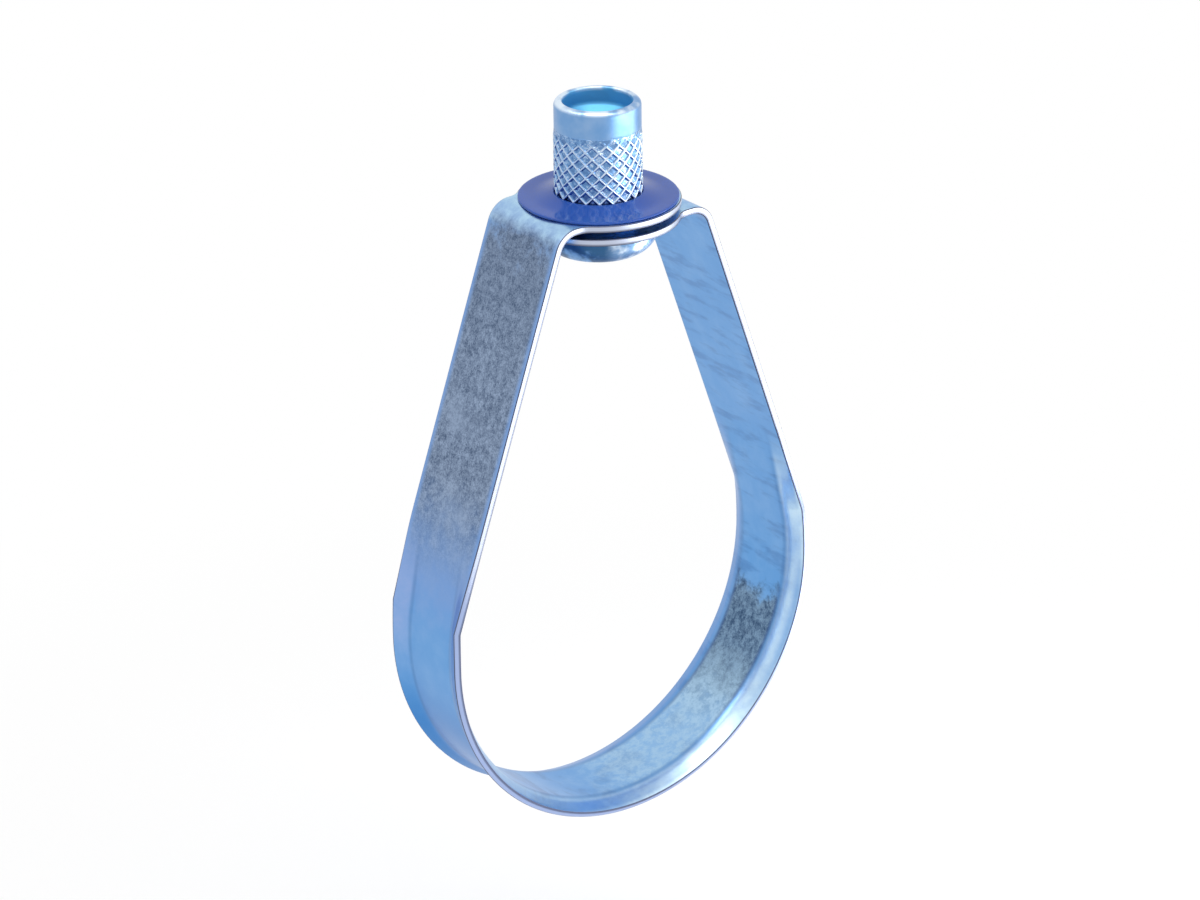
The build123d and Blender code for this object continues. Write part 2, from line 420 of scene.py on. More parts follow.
def section_loop(band):
    """Places across one side of the strip, then places and depths once round its rounded section."""
    half, edge, thick = band.strip_width / 2, band.edge_round, band.strip_thickness
    bend_start = FLAT_WIDTH / 2
    bend_end = bend_start + band.flare_bend
    side = np.concatenate([
        np.linspace(0, bend_start, FLAT_STEPS + 1)[:-1],
        np.linspace(bend_start, bend_end, FLARE_BEND_STEPS + 1)[:-1],
        np.linspace(bend_end, half - edge, FLARE_STEPS + 1),
    ])
    places = np.concatenate([-side[:0:-1], side])
    turn = np.linspace(0, np.pi / 2, EDGE_STEPS + 1)[1:]
    out = half - edge + edge * np.sin(turn)
    down = edge - edge * np.cos(turn)
    across = np.concatenate([places, out, out[::-1], places[::-1], -out, -out[::-1]])
    depth = np.concatenate([
        places * 0, down, thick - down[::-1], places * 0 + thick, thick - down, down[::-1],
    ])
    return places, across, depth


def edge_arm(band):
    """Lever on which the strip's edge rises with the flares' slope.

    It is half the bend and the straight beyond it.
    """
    return band.strip_width / 2 - FLAT_WIDTH / 2 - band.flare_bend / 2


def bent_section(band, across, depth, slope):
    """Points of the section at each slope of its flares: a flat, a bend and a straight flare, then the depth.

    The bend is a parabola, and the depth is laid off along the line's normal.
    """
    slope = slope[:, None]
    far = np.abs(across)[None, :]
    bent = np.clip((far - FLAT_WIDTH / 2) / band.flare_bend, 0, 1)
    beyond = np.maximum(far - FLAT_WIDTH / 2 - band.flare_bend, 0)
    line_rise = (band.flare_bend / 2 * bent**2 + beyond) * slope
    level = 1 / np.hypot(1, bent * slope)
    along = (far - level * bent * slope * depth) * np.sign(across)
    return along, line_rise + level * depth


def leg_stations(band, underside, kink):
    """Start of the left tab's bend, then foot, way outwards and slope of the flares at each station of the leg.

    The feet lie on the strip's inner side. The tab's bend is an arc and the edges run straight from it
    to the kink. The strip's middle leaves their plane by a short parabola and then runs straight on
    along the ring's tangent at the kink, and the flares slope by that distance over their lever.
    """
    radius = RING_RADIUS + band.leg_stand_out
    reach = np.hypot(band.tab_spread / 2, SWIVEL_HEIGHT)
    lean = np.arcsin(radius / reach) - np.arctan2(band.tab_spread / 2, SWIVEL_HEIGHT)
    forward = np.array([sin(lean), cos(lean)])
    outward = np.array([-cos(lean), sin(lean)])
    turn_in = lean - kink
    kink_drop = radius - RING_RADIUS * cos(turn_in)
    closing = kink_drop / tan(turn_in)
    ease = band.runout_ease
    low = outward * radius - forward * RING_RADIUS * sin(turn_in)
    corner = low + forward * (underside - low[1]) / forward[1]
    setback = band.tab_bend * tan((np.pi / 2 - lean) / 2)
    flat_start = corner[0] + setback
    turn = np.linspace(np.pi / 2, np.pi - lean, TAB_BEND_STEPS + 1)
    bend_out = np.column_stack([np.cos(turn), np.sin(turn)])
    bend = np.array([flat_start, underside - band.tab_bend]) + band.tab_bend * bend_out
    top = np.hypot(*(bend[-1] - low))
    height = np.concatenate([
        np.linspace(top, closing + ease, LEG_STEPS + 1)[1:-1],
        np.linspace(closing + ease, closing - ease, EASE_STEPS + 1)[:-1],
        np.linspace(closing - ease, KINK_STATIONS[0], RUNOUT_STEPS + 1)[:-1],
        KINK_STATIONS,
    ])
    gap = closing + ease - height
    eased = np.where(gap < 2 * ease, np.maximum(gap, 0) ** 2 / (4 * ease), gap - ease)
    slope = np.clip(gap / (2 * ease), 0, 1) * tan(turn_in)
    drop = eased * tan(turn_in)
    facing = lean - np.arctan(slope)
    leg = low + forward * height[:, None] - outward * drop[:, None]
    feet = np.vstack([bend, leg])
    outs = np.vstack([bend_out, np.column_stack([-np.cos(facing), np.sin(facing)])])
    return flat_start, feet, outs, np.concatenate([np.zeros(len(bend)), drop / edge_arm(band)])


def eye_outline(band, flat_start, places):
    """Outline of the left tab and eye, counterclockwise, with its normals and a mark on the tab's seam.

    A round eye runs through two hollow arcs into the straight tab, which ends on the seam.
    """
    half, neck = band.strip_width / 2, band.eye_neck
    eye = BAND_HIGH.y
    hollow = np.array([-sqrt((eye + neck) ** 2 - (half + neck) ** 2), half + neck])
    lean = np.degrees(np.arctan2(hollow[1], -hollow[0]))
    low_neck = arc((hollow[0], -hollow[1]), neck, 90, lean, NECK_STEPS)
    low_out = (np.array([hollow[0], -hollow[1]]) - low_neck) / neck
    round_eye = arc((0, 0), eye, lean - 180, 180 - lean, EYE_STEPS)[1:-1]
    high_neck = low_neck[::-1] * (1, -1)
    high_out = low_out[::-1] * (1, -1)
    corner = np.array([[flat_start, half]])
    seam = places[-2:0:-1]
    outline = np.vstack([
        corner * (1, -1), low_neck, round_eye, high_neck, corner,
        np.column_stack([seam * 0 + flat_start, seam]),
    ])
    seam_out = np.tile([-1, 0], (len(seam), 1))
    outs = np.vstack([[[0, -1]], low_out, round_eye / eye, high_out, [[0, 1]], seam_out])
    on_seam = np.concatenate([np.zeros(len(outline) - len(seam)), np.ones(len(seam))])
    return outline, outs, on_seam


def eye_points(band, flat_start, underside, places):
    """Points, quads and stored numbers of the left eye.

    Each row goes once round the plate, from its hole to its outline and back.
    """
    outline, outs, on_seam = eye_outline(band, flat_start, places)
    edge, thick = band.edge_round, band.strip_thickness
    turn = np.linspace(0, np.pi / 2, EDGE_STEPS + 1)[1:]
    inset = edge - edge * np.sin(turn)
    down = edge - edge * np.cos(turn)
    span = np.linspace(0, 1, EYE_RINGS)
    one, none = np.ones(len(turn)), np.zeros(len(turn))
    blend = np.concatenate([span, one, one, span[::-1], none, none])
    from_hole = np.concatenate([span * 0 + edge, one, one, span * 0 + edge, inset, inset[::-1]])
    from_outline = np.concatenate([span * 0 + edge, inset, inset[::-1], span * 0 + edge, none, none])
    height = np.concatenate([
        span * 0 + thick, thick - down, down[::-1], span * 0, down, thick - down[::-1],
    ])
    bearing = outline / np.hypot(*outline.T)[:, None]
    hole = bearing[:, None, :] * (band.eye_hole + from_hole)[None, :, None]
    pulled = from_outline[None, :] * (1 - on_seam)[:, None]
    rim = outline[:, None, :] - outs[:, None, :] * pulled[:, :, None]
    flat = hole * (1 - blend)[None, :, None] + rim * blend[None, :, None]
    z = np.broadcast_to(underside + height, flat.shape[:2])
    points = np.dstack([flat, z])
    rows, columns = flat.shape[:2]
    faces = grid_faces(rows, columns, close_rows=True, close_columns=True)
    seam_rows = np.arange(rows) >= rows - int(on_seam.sum()) - 1
    wall = (np.arange(columns) >= EYE_RINGS - 1) & (np.arange(columns) < EYE_RINGS + 2 * EDGE_STEPS)
    keep = ~(seam_rows[:, None] & wall[None, :])
    cut = np.tile((blend == 1) & (from_outline < edge) | (blend == 0) & (from_hole < edge), (rows, 1))
    stored = {"outer": np.tile(height / thick, (rows, 1)), "cut": cut * (1 - on_seam)[:, None]}
    return points.reshape(-1, 3), faces[keep], stored


def build_band(band):
    """The loop band: one strip round the ring and up both legs, welded to its two eyes.

    The ring's flares keep one slope, and grow by the square of the height to the legs' slope at the kinks.
    """
    places, across, depth = section_loop(band)
    heights = (SWIVEL_HEIGHT + band.strip_thickness + band.tab_gap, SWIVEL_HEIGHT)
    left_start, left_feet, left_outs, left_slope = leg_stations(band, heights[0], band.kink)
    right_start, right_feet, right_outs, right_slope = leg_stations(band, heights[1], band.far_kink)
    turn = np.linspace(band.kink, -np.pi - band.far_kink, RING_STEPS + 1)[1:-1]
    above = np.maximum(turn / band.kink, -(turn + np.pi) / band.far_kink).clip(0) ** 2
    ring_slope = np.where(turn > -np.pi / 2, left_slope[-1], right_slope[-1])
    ring_slope = sin(band.flare_angle) * (1 - above) + ring_slope * above
    ring_outs = np.column_stack([-np.cos(turn), np.sin(turn)])
    feet = np.vstack([left_feet, ring_outs * RING_RADIUS, right_feet[::-1] * (-1, 1)])
    outs = np.vstack([left_outs, ring_outs, right_outs[::-1] * (-1, 1)])
    slope = np.concatenate([left_slope, ring_slope, right_slope[::-1]])
    flare = np.clip(slope / sin(band.flare_angle), 0, 1)
    along, rise = bent_section(band, across, depth, slope)
    x = feet[:, :1] + outs[:, :1] * rise
    z = feet[:, 1:] + outs[:, 1:] * rise
    strip = np.stack([x, along, z], axis=-1)
    rows, columns = x.shape
    faces = [grid_faces(rows, columns, close_columns=True).reshape(-1, 4)]
    points = [strip.reshape(-1, 3)]
    cut = np.abs(across) > band.strip_width / 2 - band.edge_round * 0.9
    stored = {
        "outer": [np.tile(depth / band.strip_thickness, (rows, 1)).ravel()],
        "cut": [np.tile(cut, (rows, 1)).ravel()],
        "flared": [np.repeat(flare, columns)],
        "across": [np.tile(across, (rows, 1)).ravel()],
    }
    for start, underside, side in ((left_start, heights[0], 1), (right_start, heights[1], -1)):
        eye, eye_faces, eye_stored = eye_points(band, start, underside, places)
        eye = eye * (side, 1, 1)
        if side > 0:
            eye_faces = eye_faces[:, ::-1]
        faces.append(eye_faces + sum(len(p) for p in points))
        points.append(eye)
        stored["outer"].append(eye_stored["outer"].ravel())
        stored["cut"].append(eye_stored["cut"].ravel())
        stored["flared"].append(np.zeros(len(eye)))
        stored["across"].append(eye[:, 1])
    stored = {key: np.concatenate(values).astype(float) for key, values in stored.items()}
    return piece_from("band", np.vstack(points), np.vstack(faces), stored, weld=WELD)


class StripFinish(Finish):
    """Zinc on the strip, with the places and noises that its marks share."""

    def __init__(self, band):
        super().__init__("galvanised_strip")
        self.band = band
        self.x, self.y, self.z = (self.axis(index) for index in range(3))
        self.outer, self.cut, self.flared = (self.stored(name) for name in ("outer", "cut", "flared"))
        self.side = abs(self.stored("across"))
        self.outside = self.outer.ramp(0.3, 0.7)
        self.inside = 1 - self.outside
        # The near half, towards the camera, takes the painted flare highlight; the far half takes painted shade
        # and the painted lavender reflection.
        self.near = self.y.ramp(1 * MM, -1 * MM)
        self.fine = self.noise(0.22 * MM, detail=3, roughness=0.6)
        self.blotch = self.noise(2.6 * MM, detail=4, roughness=0.65)
        self.cloud = self.noise(9 * MM, detail=3)
        self.clump = self.noise(1.3 * MM, detail=5, roughness=0.75).ramp(0.36, 0.62)
        grain = self.noise(0.5 * MM, detail=3, roughness=0.7)
        self.speckle = (self.fine * 0.45 + grain * 0.35 + self.blotch * 0.2).ramp(0.38, 0.63)
        wander = (self.blotch - 0.5) * 9 * MM
        self.rough_x, self.rough_z = self.x + wander, self.z + wander
        self.tab_z = self.z + wander * 0.15

    def paint(self, amount, under, name):
        """The band's colour of this name, laid over what is under it."""
        return self.mix(amount, under, tuple(getattr(self.band, name)))

    def smooth_zinc(self):
        """Smooth zinc: paler in clouds, smudged inside, with a painted highlight on the tabs' tops and painted
        shade outside the ring's lower half.
        """
        pale = (self.cloud * 0.6 + self.blotch * 0.4).ramp(0.4, 0.75) * 0.3 + (self.fine - 0.5) * 0.12
        face = self.mix(pale, tuple(self.band.zinc), tuple(self.band.zinc_light))
        slanted = self.node("ShaderNodeMapping", Vector=self.place, Rotation=(-0.7, 0, 0), Scale=(1, 1, 4.5))
        streak = self.noise(7 * MM, detail=4, roughness=0.6, place=slanted)
        face = self.paint(streak.ramp(0.48, 0.67) * self.inside * 0.46, face, "smudge")
        tab = SWIVEL_HEIGHT
        # Painted highlight on the top faces of the tabs.
        tabs = self.tab_z.ramp(tab + 0.45 * MM, tab + 1.45 * MM) * self.outside
        tabs = tabs * (0.8 + (self.blotch - 0.5) * 0.8) * self.cloud.ramp(0.2, 0.45)
        face = self.paint(tabs, face, "tab_zinc")
        # Painted shade, darker towards the ring's bottom on its outside.
        return self.paint(self.z.ramp(-3 * MM, -16 * MM) * self.outside * 0.85, face, "deep_zinc")

    def spangled_leg(self, face):
        """The colour with coarse spangle outside one leg, violet where it ends, and a mask of the spangle."""
        z, tab = self.z, SWIVEL_HEIGHT
        leg = self.rough_x.ramp(-10 * MM, -15 * MM) * self.outside
        face = self.paint(leg * self.rough_z.ramp(0, 12 * MM) * 0.6, face, "violet_zinc")
        leg = leg * self.rough_z.ramp(7 * MM, 27 * MM) * z.ramp(tab + 3.15 * MM, tab + 0.35 * MM)
        leg = leg * self.side.ramp(8.1 * MM, 6.9 * MM)
        grains = (self.speckle * 0.7 + self.clump * 0.3) * (1 - 0.25 * z.ramp(40 * MM, 56 * MM))
        spangle = self.mix(grains, tuple(self.band.spangle_dark), tuple(self.band.spangle))
        clear = self.cloud.ramp(0.45, 0.7) * z.ramp(48 * MM, 30 * MM) * 0.45
        return self.mix(leg * 0.95, face, self.paint(clear, spangle, "spangle")), leg

    def ring_reflection_grain(self, face):
        """The colour with grain and a painted dark reflection low inside the ring, grain with a painted pale
        reflection at its lowest part, and a mask of the dark reflection.
        """
        half = FLAT_WIDTH / 2
        flat = self.side.ramp(half + 0.9 * MM, half + 0.1 * MM) * self.inside
        # Grain with a painted dark reflection, low inside the ring.
        reflection_grain = self.rough_z.ramp(-7 * MM, -10 * MM) * self.rough_z.ramp(-30 * MM, -21 * MM)
        reflection_grain = reflection_grain * self.x.ramp(0, 9 * MM) * flat
        light = self.clump * 0.55 + self.speckle * 0.45
        clusters = self.mix(light, tuple(self.band.dark_reflection_grain), tuple(self.band.reflection_grain))
        face = self.mix(reflection_grain * 0.92, face, clusters)
        # Painted pale reflection with grain at the ring's lowest part.
        pale_reflection = self.rough_z.ramp(-16 * MM, -24 * MM) * self.rough_x.ramp(-8 * MM, 6 * MM) * flat
        return self.paint(pale_reflection * (0.4 + 0.35 * self.clump), face, "frost"), reflection_grain

    def flare_light_and_shade(self, face, reflection_grain):
        """Flares with a painted lavender reflection outside, a painted highlight inside the near flare, painted
        shade inside the far flare and a painted shade line along their bends.
        """
        half, side, z = FLAT_WIDTH / 2, self.side, self.z
        near, inside, uneven = self.near, self.inside, self.blotch - 0.5
        flare = self.flared * side.ramp(half + 0.5 * MM, half + 1.7 * MM)
        # Painted lavender reflection on the outside of the far flare.
        shoulder = z.ramp(-9 * MM, 5 * MM) * self.outside * (1 - near)
        face = self.paint(flare * shoulder * (0.5 + uneven * 0.6), face, "rolled")
        # Painted highlight on the inside of the near flare.
        burnished = (0.45 + 0.55 * self.rough_x.ramp(-9 * MM, 5 * MM)) * (0.85 + uneven * 0.9)
        face = self.paint(flare * inside * near * burnished, face, "burnished")
        # The painted highlight gives way to plain zinc on the flare's outer part.
        rim = side.ramp(6.7 * MM, 7.8 * MM) * z.ramp(-27 * MM, -15 * MM) * z.ramp(1 * MM, -7 * MM)
        face = self.paint(flare * inside * near * rim * 0.6, face, "zinc")
        # Painted shade on the inside of the far flare.
        face = self.paint(flare * inside * (1 - near) * 0.5, face, "far_flare")
        # Painted shade line along the bend of each flare, darker in the painted dark reflection.
        bend = side.ramp(half - 0.2 * MM, half + 0.6 * MM) * side.ramp(half + 1.4 * MM, half + 0.7 * MM)
        return self.paint(self.flared * bend * (0.25 + 0.6 * reflection_grain), face, "crease")

    def sheared_edge(self):
        """Pale cut face, with the painted lavender reflection on it round the ring, and painted shade lines
        along both its rounded edges.
        """
        # Painted lavender reflection on the cut face where the strip is flared.
        edge = self.mix(self.flared * 0.75, tuple(self.band.cut_edge), tuple(self.band.rolled))
        # Painted shade lines along both rounded edges of the cut face.
        edge = self.paint(abs(self.outer - 0.5).ramp(0.33, 0.42) * 0.9, edge, "shear_line")
        return self.paint(self.outer.ramp(0.42, 0.22) * 0.6, edge, "shear_line")


def galvanised(band):
    """Zinc on the strip: smooth, grainy on one leg, grain with painted reflections low inside the ring, and
    painted highlights and shade on the flares.
    """
    zinc = StripFinish(band)
    face, leg = zinc.spangled_leg(zinc.smooth_zinc())
    face, reflection_grain = zinc.ring_reflection_grain(face)
    face = zinc.flare_light_and_shade(face, reflection_grain)
    relief = zinc.fine * (0.3 + 0.7 * leg) + zinc.blotch * 0.6
    return zinc.surface(
        Base_Color=zinc.mix(zinc.cut, face, zinc.sheared_edge()),
        Metallic=1.0,
        Roughness=0.3 + 0.14 * leg + 0.1 * (zinc.fine - 0.5) + 0.08 * zinc.cut,
        Normal=zinc.bump(relief, 0.3, 0.04 * MM),
    )


# Swivel nut

KNURL_CELLS = 20
BORE_CHAMFER = 0.5 * MM
NUT_EDGE_ROUND = 0.15 * MM
FOOT_ROW = 0.05 * MM  # distance of a row from the foot's edge, which keeps the edge crisp
MOUTH_ROWS = 8  # rows at the end of the nut's outline that are finished like the bore

# Numbers of steps in the meshes
NUT_TURN_STEPS = 360
BOWL_STEPS = 22
LIP_STEPS = 10
MOUTH_ROUND_STEPS = 6
KNURL_TURN_STEPS = 24 * KNURL_CELLS
KNURL_ROWS = 118
THREAD_STEPS_A_TURN = 9


def nut_profile(nut):
    """Radii and heights of the nut's outline from its foot over bowl, shank, collar and lip into its mouth."""
    top, bottom = NUT_HIGH.z, NUT_LOW.z
    flange_top = bottom + nut.flange_height
    flange, foot = NUT_HIGH.x, nut.flange_foot
    collar, mouth = nut.collar_radius, nut.mouth_radius
    knurl_top = top - nut.collar_length
    knurl_bottom = knurl_top - nut.knurl_length
    core = collar - nut.knurl_depth
    edge = NUT_EDGE_ROUND
    drop = flange_top - nut.flange_edge - bottom
    inward = flange - foot
    bowl_radius = (inward**2 + drop**2) / (2 * inward)
    sweep = np.degrees(np.arcsin(drop / bowl_radius))
    bowl = arc((flange - bowl_radius, flange_top - nut.flange_edge), bowl_radius, -sweep, 0, BOWL_STEPS)
    crown = mouth + nut.mouth_round
    lip = collar - crown
    return np.vstack([
        straight((BORE_RADIUS + BORE_CHAMFER, bottom), (foot - FOOT_ROW, bottom), 4),
        bowl[1:],
        arc((flange - edge, flange_top - edge), edge, 0, 90, 5),
        straight((flange - edge, flange_top), (collar + edge, flange_top), 6)[1:-1],
        arc((collar + edge, flange_top + edge), edge, 270, 180, 4),
        [(collar, knurl_bottom), (core, knurl_bottom + edge), (core, knurl_top - nut.knurl_pitch / 2)],
        straight((collar, knurl_top), (collar, top - lip), 8)[:-1],
        arc((crown, top - lip), lip, 0, 90, LIP_STEPS),
        arc((crown, top - nut.mouth_round), nut.mouth_round, 90, 180, MOUTH_ROUND_STEPS)[1:],
        straight((mouth, top - nut.mouth_round), (mouth, top - nut.mouth_depth), 5)[1:],
    ])


def threaded_bore(nut):
    """Radius of the bore at each height and turn: the larger of the plain bore and the helical groove.

    The groove is a V whose place on the height moves one pitch with each turn, cut off by its flats.
    """
    top, bottom = NUT_HIGH.z, NUT_LOW.z
    high = top - nut.mouth_depth
    taper_end = high - nut.mouth_taper
    rows = int((high - bottom) / nut.thread_pitch * THREAD_STEPS_A_TURN)
    heights = np.linspace(high, bottom, rows + 2)[1:]
    plain = np.interp(
        heights,
        [bottom, bottom + BORE_CHAMFER, taper_end, high],
        [BORE_RADIUS + BORE_CHAMFER, BORE_RADIUS, BORE_RADIUS, nut.mouth_radius],
    )
    turn = np.linspace(0, 1, NUT_TURN_STEPS, endpoint=False)
    phase = (heights[:, None] / nut.thread_pitch - turn[None, :]) % 1
    steepness, crest_flat = 1.25, 0.15
    groove = np.clip(steepness * (1 - np.abs(phase - 0.5) * 2) - crest_flat, 0, 1)
    radii = np.maximum(plain[:, None], BORE_RADIUS + nut.thread_depth * groove)
    return radii[:-1], heights[:-1]


def build_nut_body(nut):
    """The nut without its knurl: one turned surface from the foot over the lip and down the threaded bore."""
    outside = nut_profile(nut)
    bore, heights = threaded_bore(nut)
    outer_points = turned(outside[:, 0], outside[:, 1], NUT_TURN_STEPS)
    bore_points = turned(bore, heights, NUT_TURN_STEPS)
    points = np.concatenate([outer_points, bore_points])
    rows, columns = points.shape[:2]
    faces = grid_faces(rows, columns, close_rows=True, close_columns=True).reshape(-1, 4)
    inside = np.repeat(np.arange(rows) >= len(outside) - MOUTH_ROWS, columns)
    return piece_from("nut_body", points.reshape(-1, 3), faces, {"inside": inside})


def build_knurl(nut):
    """The knurl: a sleeve whose radius rises on two crossing families of helical ridges.

    Round the sleeve u counts cells, up it v does; ridges lie where u + v or u - v is half-way between
    whole numbers, and the radius falls from crest to cell floor by a smooth step across each flank.
    Towards its top the whole pattern fades into the collar by another.
    """
    high = NUT_HIGH.z - nut.collar_length
    low = high - nut.knurl_length
    crest = nut.collar_radius + nut.knurl_crest
    heights = np.linspace(low, high, KNURL_ROWS)
    u = np.linspace(0, KNURL_CELLS, KNURL_TURN_STEPS, endpoint=False)[None, :]
    v = ((heights - low) / nut.knurl_pitch)[:, None]
    around = 2 * np.pi * crest / KNURL_CELLS
    spacing = around * nut.knurl_pitch / np.hypot(around, nut.knurl_pitch)
    crest_half, flank = 0.3 * nut.knurl_ridge, 0.75 * nut.knurl_ridge
    level = np.zeros((KNURL_ROWS, KNURL_TURN_STEPS))
    for cell in (u + v, u - v):
        off_ridge = np.abs(cell % 1 - 0.5) * spacing
        level = np.maximum(level, 1 - smooth((off_ridge - crest_half) / flank))
    radii = crest - nut.knurl_depth * (1 - level)
    fade_height = 0.8 * nut.knurl_pitch
    fade = smooth((high - heights[:, None]) / fade_height)
    radii = nut.collar_radius + (radii - nut.collar_radius) * fade
    level = level * fade
    inner = nut.collar_radius - 2 * nut.knurl_depth
    points = np.concatenate([
        turned(np.full(1, inner), np.array([low]), KNURL_TURN_STEPS),
        turned(radii, heights, KNURL_TURN_STEPS),
        turned(np.full(1, inner), np.array([high]), KNURL_TURN_STEPS),
    ])
    rows, columns = points.shape[:2]
    faces = grid_faces(rows, columns, close_rows=True, close_columns=True).reshape(-1, 4)
    crests = np.vstack([np.zeros((1, columns)), level, np.zeros((1, columns))])
    return piece_from("nut_knurl", points.reshape(-1, 3), faces, {"crest": crests})


class PlateFinish(Finish):
    """Bright zinc plate on the nut, with the tones and noises that its two pieces share."""

    def __init__(self, nut, name):
        super().__init__(name)
        self.cloud = self.noise(3 * MM, detail=3)
        self.grain = self.noise(0.2 * MM, detail=2)
        self.patch = self.noise(0.9 * MM, detail=3, roughness=0.75)
        # Painted light from one side: 0 on the shaded side of the nut, 1 on its lit side.
        self.worn = (self.axis(0) * 0.8 - self.axis(1) * 0.6).ramp(-2.5 * MM, 4.5 * MM)
        self.plain = self.mix(self.cloud.ramp(0.35, 0.8) * 0.35, tuple(nut.plate), tuple(nut.pale_plate))

    def finished(self, tone, roughness):
        """The material of this colour and roughness, with a fine grain."""
        return self.surface(
            Base_Color=tone,
            Metallic=1.0,
            Roughness=roughness + 0.14 * self.cloud,
            Normal=self.bump(self.grain * 0.5 + self.patch * 0.5, 0.2, 0.03 * MM),
        )


def knurl_plate(nut):
    """Plate on the knurl: polished crests with a painted highlight, painted glints and painted shade in its
    cells, the light stronger and the shade weaker on the lit side.
    """
    plate = PlateFinish(nut, "plated_knurl")
    crest, patch, worn, ridge = plate.stored("crest"), plate.patch, plate.worn, tuple(nut.ridge)
    # Painted shade in the cells, weaker on the lit side.
    floors = (1 - crest) * patch.ramp(0.4, 0.6) * (1 - 0.6 * worn)
    # Painted highlight on the crests, stronger on the lit side.
    crests = crest.ramp(0.45, 0.95) * patch.ramp(0.28, 0.6) * (0.5 + 0.5 * worn)
    # Painted glints in the cells, more of them on the lit side.
    glints = patch.ramp(0.5, 0.38) * plate.grain.ramp(0.4, 0.6) * (0.4 + 0.6 * worn)
    tone = plate.mix(floors, plate.plain, tuple(nut.cell_shade))
    tone = plate.mix(crests, tone, ridge)
    tone = plate.mix(glints, tone, ridge)
    tone = plate.mix((plate.grain - 0.5) * crest * 0.5, tone, tuple(nut.pale_plate))
    return plate.finished(tone, 0.2)


def body_plate(nut):
    """Plate on the body: painted shade and dark reflection on the flange's bowl, a painted highlight on the
    bowl's lit side and on the lip's crown, deeper blue in the bore.
    """
    plate = PlateFinish(nut, "plated_nut")
    z, cloud, inside = plate.axis(2), plate.cloud, plate.stored("inside")
    # The lit side of the nut, where the bowl's painted shade is weakest and its painted highlight falls.
    most_lit = plate.worn.ramp(0.4, 0.9)
    flange_top, top = NUT_LOW.z + nut.flange_height, NUT_HIGH.z
    # Painted shade and dark reflection in patches on the bowl.
    bowl_dark_reflection = z.ramp(flange_top, flange_top - 0.3 * MM) * cloud.ramp(0.36, 0.5)
    # Painted highlight on the lit side of the bowl.
    bowl_highlight = z.ramp(flange_top - 0.3 * MM, flange_top - 1.2 * MM) * most_lit * cloud.ramp(0.6, 0.4)
    # Painted highlight on the lip's crown.
    crown = z.ramp(top - 0.75 * MM, top - 0.2 * MM) * cloud.ramp(0.3, 0.6)
    tone = plate.mix(bowl_dark_reflection * (0.95 - 0.65 * most_lit), plate.plain, tuple(nut.shade))
    tone = plate.mix(bowl_highlight, tone, tuple(nut.lip))
    tone = plate.mix(inside, tone, tuple(nut.bore))
    tone = plate.mix(crown, tone, tuple(nut.lip))
    return plate.finished(tone, 0.28 + 0.18 * inside)


# Retaining washer

WASHER_GRIP = 0.02 * MM
WASHER_TURN_STEPS = 192
DISH_STEPS = 14


def build_washer(washer, nut):
    """The washer: a flat rim and a dish that rises from it to a bore on the knurl, turned about the rod.

    The dish rises by the lower half of a smooth step.
    """
    low, radius, thick = WASHER_LOW.z, WASHER_HIGH.x, washer.thickness
    bore = nut.collar_radius + nut.knurl_crest + WASHER_GRIP
    rim = radius - washer.rim
    edge = thick * 0.4
    inward = np.linspace(0, 1, DISH_STEPS + 1)
    lift = washer.dish * smooth(inward / 2) * 2
    across = rim + (bore - rim) * inward
    under = np.column_stack([across, low + lift])
    over = under + (0, thick)
    profile = np.vstack([
        under[::-1],
        straight((rim, low), (radius - edge, low), 4)[1:],
        arc((radius - edge, low + edge), edge, 270, 360, 4)[1:],
        arc((radius - edge, low + thick - edge), edge, 0, 90, 4),
        straight((radius - edge, low + thick), (rim, low + thick), 4)[1:-1],
        over,
    ])
    points = turned(profile[:, 0], profile[:, 1], WASHER_TURN_STEPS)
    rows, columns = points.shape[:2]
    faces = grid_faces(rows, columns, close_rows=True, close_columns=True).reshape(-1, 4)
    return piece_from("washer", points.reshape(-1, 3), faces)


def washer_plastic(washer):
    """Glossy moulded plastic with faint flow marks and handling scratches."""
    plastic = Finish("washer_plastic")
    flow = plastic.noise(6 * MM, detail=2)
    scuff = plastic.noise(0.5 * MM, detail=4, roughness=0.7)
    tone = plastic.mix(flow.ramp(0.3, 0.8) * 0.5, tuple(washer.plastic), tuple(washer.flow_mark))
    return plastic.surface(
        Base_Color=tone,
        Metallic=0.0,
        Roughness=0.07 + 0.1 * scuff,
        Specular_IOR_Level=0.24,
        Normal=plastic.bump(flow + scuff * 0.2, 0.08, 0.05 * MM),
    )


# Operators


def dress(piece, material, body):
    """Gives a finished piece its material, body and slot."""
    piece.data.materials.append(material)
    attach(piece, body)
    return piece


class HANGER_OT_band(bpy.types.Operator):
    """Builds the loop band in galvanised strip"""

    bl_idname = "hanger.band"
    bl_label = "Loop band"

    def execute(self, context):
        band = context.scene.hanger_band
        piece = dress(build_band(band), galvanised(band), "loop")
        keep_flats_flat(piece)
        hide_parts("loop_band")
        return {"FINISHED"}


class HANGER_OT_nut(bpy.types.Operator):
    """Builds the swivel nut: threaded body and knurl"""

    bl_idname = "hanger.nut"
    bl_label = "Swivel nut"

    def execute(self, context):
        nut = context.scene.hanger_nut
        body = dress(build_nut_body(nut), body_plate(nut), "nut")
        keep_flats_flat(body)
        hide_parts("swivel_nut")
        dress(build_knurl(nut), knurl_plate(nut), "nut")
        return {"FINISHED"}


class HANGER_OT_washer(bpy.types.Operator):
    """Builds the dished retaining washer"""

    bl_idname = "hanger.washer"
    bl_label = "Retaining washer"

    def execute(self, context):
        scene = context.scene
        piece = build_washer(scene.hanger_washer, scene.hanger_nut)
        dress(piece, washer_plastic(scene.hanger_washer), "nut")
        keep_flats_flat(piece)
        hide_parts("retaining_washer")
        return {"FINISHED"}


